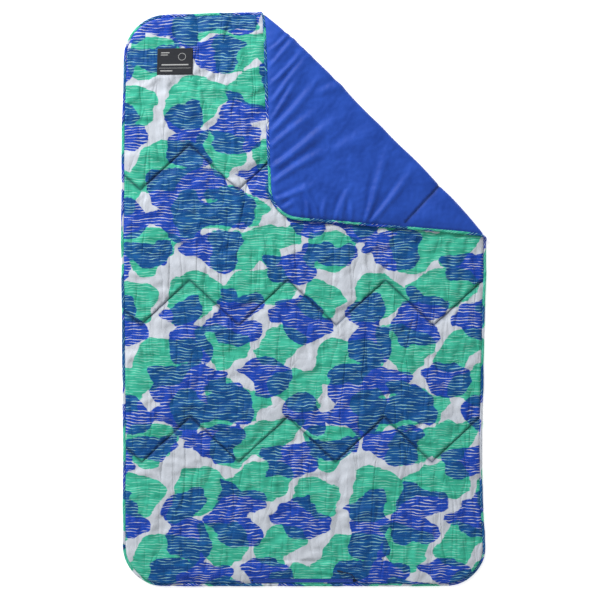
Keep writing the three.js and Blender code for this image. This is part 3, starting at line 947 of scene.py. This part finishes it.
GROUND = srgb(204, 211, 222), srgb(226, 231, 240)
GREEN_INK = srgb(38, 162, 132), srgb(78, 214, 180)
BLUE_INK = srgb(8, 58, 172), srgb(28, 82, 202)
TEAL_INK = srgb(0, 64, 136), srgb(16, 98, 168)
PALE_GREEN = srgb(156, 236, 212)
# Colour and strength of the painted shade along the quilting
SEAM_SHADE_TONE = srgb(110, 120, 140)
SEAM_SHADE = 0.85
PALE_LINE = srgb(216, 220, 238)
TEAL_LINE = srgb(150, 206, 214)

printed = printed_fabric("printed_fabric")
plain = plain_fabric("plain_blue_fabric", srgb(27, 72, 173), srgb(42, 90, 202))
fill = small_material("batting_fill", (214, 214, 210), (240, 240, 238), 0.9, 260, 0.6)
thread = small_material("seam_thread", (20, 62, 92), (34, 88, 118), 0.6, 2500, 0.4)
dark_thread = small_material("label_thread", (18, 22, 30), (42, 46, 56), 0.6, 2500, 0.4)
pale_thread = small_material("label_mark_thread", (176, 178, 180), (208, 208, 206), 0.6, 1800, 0.5)
label_cloth = ribbed_material("label_cloth", (14, 18, 26), (38, 42, 52), 0.0016, 1, 0.66, 0.00012)
tape_cloth = ribbed_material("zip_tape_cloth", (24, 66, 168), (46, 92, 200), 0.0011, 0, 0.6, 0.0001)
coil_plastic = small_material("zip_coil_plastic", (20, 56, 156), (40, 84, 196), 0.62, 1500, 0.1)
dark_metal = small_material("painted_zip_metal", (26, 32, 50), (44, 50, 68), 0.36, 700, 0.15, 0.6)
braid = small_material("braided_cord", (12, 22, 48), (36, 48, 84), 0.7, 1700, 0.9, 0.0, 0.0004)
grip_plastic = small_material("moulded_grip", (18, 22, 34), (30, 35, 50), 0.48, 1200, 0.2)


# ---- sheets, batting and piping

def finish_piece(piece, material, nodes=(), body=None):
    piece.data.materials.append(material)
    if nodes:
        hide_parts(*nodes)
    if body:
        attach(piece, body)
    return piece


finish_piece(cord, braid, ["pull_cord"], "slider")
finish_piece(grip, grip_plastic, ["cord_grip"], "slider")

centres = flat[triangles].mean(1)
in_slot = box_gap(centres, *SLOT) == 0

face_panel = add_object("face_panel", settled(face_done), triangles[~in_slot])
add_print(face_panel, flat)
finish_piece(
    face_panel, printed, ["main_face_panel", "bend_face_panel", "corner_face_panel"],
)

back_panel = add_object("back_panel", settled(back_done), triangles[:, ::-1])
add_cloth(back_panel, flat, painted_seam_shade(flat))
finish_piece(
    back_panel, plain, ["main_back_panel", "bend_back_panel", "corner_back_panel"],
)


def make_batting():
    """The filling as one closed piece, thinner than the room between the sheets."""
    rim = outline(0.018, BATTING_SPACING)
    points, faces = triangulate(BATTING_SPACING, BATTING_SPACING, 6, rim, [])
    face, back = layers(points, BATTING_SPACING)
    middle = (face + back) / 2
    top = np.maximum(face - FILL_GAP, middle + 0.0003)
    fill_gap = FILL_GAP + (FLAP_FILL_GAP - FILL_GAP) * fold_share(points)
    bottom = np.minimum(back + fill_gap, middle - 0.0003)
    n, count = len(points), len(rim) - 1
    walls = [(i, i + n, (i + 1) % count + n, (i + 1) % count) for i in range(count)]
    shell = np.vstack([np.column_stack([points, top]), np.column_stack([points, bottom])])
    both = [tuple(f) for f in faces] + [tuple(f[::-1] + n) for f in faces] + walls
    return add_object("batting", settled(shell), both)


batting = finish_piece(
    make_batting(), fill, ["main_batting", "bend_batting", "corner_batting"],
)


def make_piping():
    """One welt round the whole rim, with a flat oval section."""
    line = outline(PIPING_HALF[0], 0.006)[:-1]
    ahead = np.roll(line, -1, 0) - np.roll(line, 1, 0)
    ahead /= np.linalg.norm(ahead, axis=1)[:, None]
    side = np.column_stack([ahead[:, 1], -ahead[:, 0]])
    height = rim_height(fold_share(line))
    way = travelled(line)
    girth = 1 + 0.10 * value_noise(way * 28, way * 0, 41) + 0.05 * value_noise(way * 90, way * 0, 42)
    sway = 0.0007 * value_noise(way * 22, way * 0, 43)
    sides = 12
    points, cloth = [], []
    for k in range(sides):
        angle = 2 * math.pi * k / sides
        out = PIPING_HALF[0] * math.cos(angle) * girth + sway
        lift = PIPING_HALF[1] * math.sin(angle) * girth
        points.append(np.column_stack([line + side * out[:, None], np.maximum(height + lift, 0.0002)]))
        bias = 0.008 * math.cos(angle)
        cloth.append(np.column_stack([way * 0.74 + bias, way * 0.67 - bias]))
    piece = add_object("edge_piping", settled(np.vstack(points)), band_faces(sides, len(line)))
    add_print(piece, np.vstack(cloth))
    return piece


piping = finish_piece(
    make_piping(), printed_fabric("printed_piping_fabric"),
    ["main_piping", "bend_piping_right", "bend_piping_top", "corner_piping"],
)


# ---- stitches

def stitch_places(line, pitch):
    """Middle and heading of each stitch along a line."""
    middles, headings = [], []
    for a, b in zip(line[:-1], line[1:]):
        length = math.hypot(*(b - a))
        count = round(length / pitch)
        for i in range(count):
            middles.append(a + (b - a) * (i + 0.5) / count)
            headings.append((b - a) / length)
    return np.array(middles), np.array(headings)


def stitches(name, middles, headings, heights, length, radius):
    """A rounded thread for each stitch, with its ends drawn down into the cloth."""
    across = np.column_stack([-headings[:, 1], headings[:, 0]])
    along = np.array([-0.5, -0.36, 0, 0.36, 0.5]) * length
    widths = np.array([0.35, 0.9, 1, 0.9, 0.35]) * radius
    drops = np.array([-0.9, -0.2, 0.25, -0.2, -0.9]) * radius
    angles = np.arange(6) * math.pi / 3
    parts = []
    for step, width, drop in zip(along, widths, drops):
        for angle in angles:
            place = middles + headings * step + across * width * math.cos(angle)
            parts.append(np.column_stack([place, heights + drop + width * math.sin(angle)]))
    points = np.stack(parts, 1)
    size = points.shape[1]
    own = [(a, d, c, b) for a, b, c, d in band_faces(len(along), 6)[:-6]]
    own += [tuple(range(6)), tuple(range(size - 6, size))[::-1]]
    faces = [tuple(i + n * size for i in face) for n in range(len(middles)) for face in own]
    return add_object(name, settled(points.reshape(-1, 3)), faces)


places = zip(*[stitch_places(line, STITCH_PITCH) for line in seam_lines])
seam_middles, seam_headings = [np.vstack(part) for part in places]
seam_face, seam_back = layers(seam_middles)


def make_seam(name, heights):
    return stitches(name, seam_middles, seam_headings, heights, STITCH_LENGTH, STITCH_RADIUS)


seam_on_face = finish_piece(
    make_seam("quilting_stitches_face", seam_face + STITCH_RADIUS * 0.6), thread,
    ["quilting_row_1", "quilting_row_2", "quilting_row_3"],
)
seam_on_back = finish_piece(
    make_seam("quilting_stitches_back", seam_back - STITCH_RADIUS * 0.6), thread,
    ["quilting_corner_run"],
)


# ---- label

LABEL_LOW, LABEL_HIGH = np.array(LABEL)[:, :2]
LABEL_MIDDLE = (LABEL_LOW + LABEL_HIGH) / 2
LABEL_HALF = (LABEL_HIGH - LABEL_LOW) / 2
LABEL_SWAY = 0.0002
LABEL_LIFT = 0.0003, 0.0010  # underside and top of the label above the face
LABEL_STITCH = 0.0032, 0.0024, 0.0004  # pitch, length and radius
LABEL_SEAM_INSET = 0.003
MARK_LIFT = 0.0009, 0.0012  # underside and top of the marks above the face


def on_face(lift):
    """Height function: a lift above the face, with slight waves."""
    def height(points):
        wave = LABEL_SWAY * value_noise(points[:, 0] * 60, points[:, 1] * 60, 51)
        return layers(points)[0] + lift + wave
    return height


def make_label():
    x_range, y_range = zip(LABEL_LOW, LABEL_HIGH)
    points, faces = slab(x_range, y_range, (30, 24), on_face(LABEL_LIFT[1]), on_face(LABEL_LIFT[0]))
    return add_object("sewn_label", settled(points), faces)


def mark_bar(x, y, width, height):
    middle, half = LABEL_MIDDLE + (x, y), np.array([width, height]) / 2
    x_range, y_range = zip(middle - half, middle + half)
    counts = (max(2, round(width / 0.004)), 1)
    return slab(x_range, y_range, counts, on_face(MARK_LIFT[1]), on_face(MARK_LIFT[0]))


def mark_ring(x, y, radius, width):
    angles = np.linspace(0, 2 * math.pi, 41)[:-1]
    circle = np.column_stack([np.cos(angles), np.sin(angles)])
    loops = []
    for side, lift in ((-1, MARK_LIFT[0]), (1, MARK_LIFT[0]), (1, MARK_LIFT[1]), (-1, MARK_LIFT[1])):
        loop = circle * (radius + side * width / 2) + (LABEL_MIDDLE + (x, y))
        loops.append(np.column_stack([loop, on_face(lift)(loop)]))
    return np.vstack(loops), band_faces(4, len(angles))


def make_label_marks():
    points, faces = joined([mark_bar(*bar) for bar in LABEL_BARS] + [mark_ring(*LABEL_RING)])
    return add_object("label_marks", settled(points), faces, smooth=False)


def make_label_stitches():
    x, y = LABEL_HALF - LABEL_SEAM_INSET
    line = np.array([(-x, -y), (x, -y), (x, y), (-x, y), (-x, -y)]) + LABEL_MIDDLE
    middles, headings = stitch_places(line, LABEL_STITCH[0])
    heights = layers(middles)[0] + MARK_LIFT[1]
    return stitches("label_edge_stitches", middles, headings, heights, *LABEL_STITCH[1:])


label = finish_piece(make_label(), label_cloth, ["woven_label"], "blanket")
marks = finish_piece(make_label_marks(), pale_thread, (), "blanket")
label_seam = make_label_stitches()
finish_piece(label_seam, dark_thread, ["label_stitching"], "blanket")


# ---- zip

COIL_PITCH = 0.0014
COIL_WIRE = 0.00034
TAPE_REACH = 0.0002, 0.0069  # from the zip's middle


def make_tape(place, side):
    """A woven tape from the slot's edge to under the coils, with slight puckers."""
    low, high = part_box("zip_tape_" + place)
    middle = (low[2] + high[2]) / 2

    def height(lift):
        def own(points):
            pucker = 0.00012 * np.sin(points[:, 0] * 2 * math.pi / 0.0072)
            out = np.clip(abs(points[:, 1] - ZIP_Y) - 0.003, 0, 1)
            return middle + lift + pucker - 0.04 * out
        return own

    y_range = sorted(ZIP_Y + side * reach for reach in TAPE_REACH)
    points, faces = slab((low[0], high[0]), y_range, (200, 4), height(-0.0001), height(-0.0004))
    return add_object("woven_tape_" + place, points, faces)


def make_coil(place, side):
    """A filament wound into a flat coil, a little thicker at the inner edge of each turn."""
    low, high = np.array(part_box("zip_coil_" + place))
    middle, half = (low + high) / 2, (high - low) / 2 - COIL_WIRE
    turns = round((high[0] - low[0] - 2 * COIL_WIRE) / COIL_PITCH)
    angle = np.linspace(0, turns * 2 * math.pi, turns * 10 + 1)
    x = np.linspace(low[0] + COIL_WIRE, high[0] - COIL_WIRE, len(angle))
    y = middle[1] + half[1] * np.cos(angle)
    z = middle[2] + half[2] * np.sin(angle)
    head = 0.5 - 0.5 * side * np.cos(angle)
    points, faces = tube(np.column_stack([x, y, z]), COIL_WIRE * (0.88 + 0.12 * head), 5)
    return add_object("wound_coil_" + place, points, faces)


for place, side in (("upper", 1), ("lower", -1)):
    finish_piece(make_tape(place, side), tape_cloth, ["zip_tape_" + place], "blanket")
    finish_piece(make_coil(place, side), coil_plastic, ["zip_coil_" + place], "blanket")

for node in ("zip_top_stop", "zip_bottom_stop", "zip_slider"):
    bpy.data.objects[node].material_slots[0].material = dark_metal


# ---- stuff pocket

def make_pocket():
    """An empty bag flat on the back panel: two layers that touch, closed round the rim."""
    low, high = np.array(POCKET)
    middle = (low[2] + high[2]) / 2

    def height(side):
        def own(points):
            edge = np.minimum(points[:, :2] - low[:2], high[:2] - points[:, :2]).min(1)
            plump = 0.00018 + 0.00034 * smoothstep(0, 0.012, edge)
            return middle + side * plump + 0.00008 * cloudy(points[:, 0] * 22, points[:, 1] * 22, 61)
        return own

    points, faces = slab((low[0], high[0]), (low[1], high[1]), (46, 29), height(1), height(-1))
    piece = add_object("stuff_pocket_bag", points, faces)
    add_cloth(piece, points[:, :2], np.zeros(len(points)))
    return piece


pocket = finish_piece(make_pocket(), plain, ["stuff_pocket"], "blanket")


# ---- light and floor

def add_light(name, place, size, power):
    data = bpy.data.lights.new(name, "AREA")
    data.shape = "DISK"
    data.size = size
    data.energy = power
    light = bpy.data.objects.new(name, data)
    light.location = place
    light.rotation_euler = (-Vector(place)).to_track_quat("-Z", "Y").to_euler()
    scene.collection.objects.link(light)


def make_stage():
    signs = (-1, -1), (1, -1), (1, 1), (-1, 1)
    corners = [(x * FLOOR_HALF, y * FLOOR_HALF, -FLOOR_GAP) for x, y in signs]
    floor = add_object("floor", corners, [(0, 1, 2, 3)], smooth=False)
    nodes = Nodes("pale_floor")
    nodes.surface(
        Base_Color=(0.92, 0.92, 0.92, 1), Roughness=0.9, Specular_IOR_Level=0.1,
        Emission_Color=(1, 1, 1, 1), Emission_Strength=FLOOR_GLOW,
    )
    floor.data.materials.append(nodes.material)
    world = bpy.data.worlds.new("studio")
    world.use_nodes = True
    background = world.node_tree.nodes["Background"].inputs
    background["Color"].default_value = (1, 1, 1, 1)
    background["Strength"].default_value = WORLD_LIGHT
    scene.world = world
    scene.view_settings.view_transform = "Standard"
    add_light("key", *KEY_LIGHT)
    add_light("fill", *FILL_LIGHT)


FLOOR_HALF = 8
FLOOR_GAP = 0.0005
FLOOR_GLOW = 0.55
WORLD_LIGHT = 0.33
KEY_LIGHT = (-3.9, 4.8, 3.6), 2.4, 450  # place, size and power
FILL_LIGHT = (2.4, -2.4, 3.4), 3.0, 20
make_stage()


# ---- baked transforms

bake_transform(face_panel)
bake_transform(seam_on_face)
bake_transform(back_panel)
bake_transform(seam_on_back)
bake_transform(batting)
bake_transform(piping)
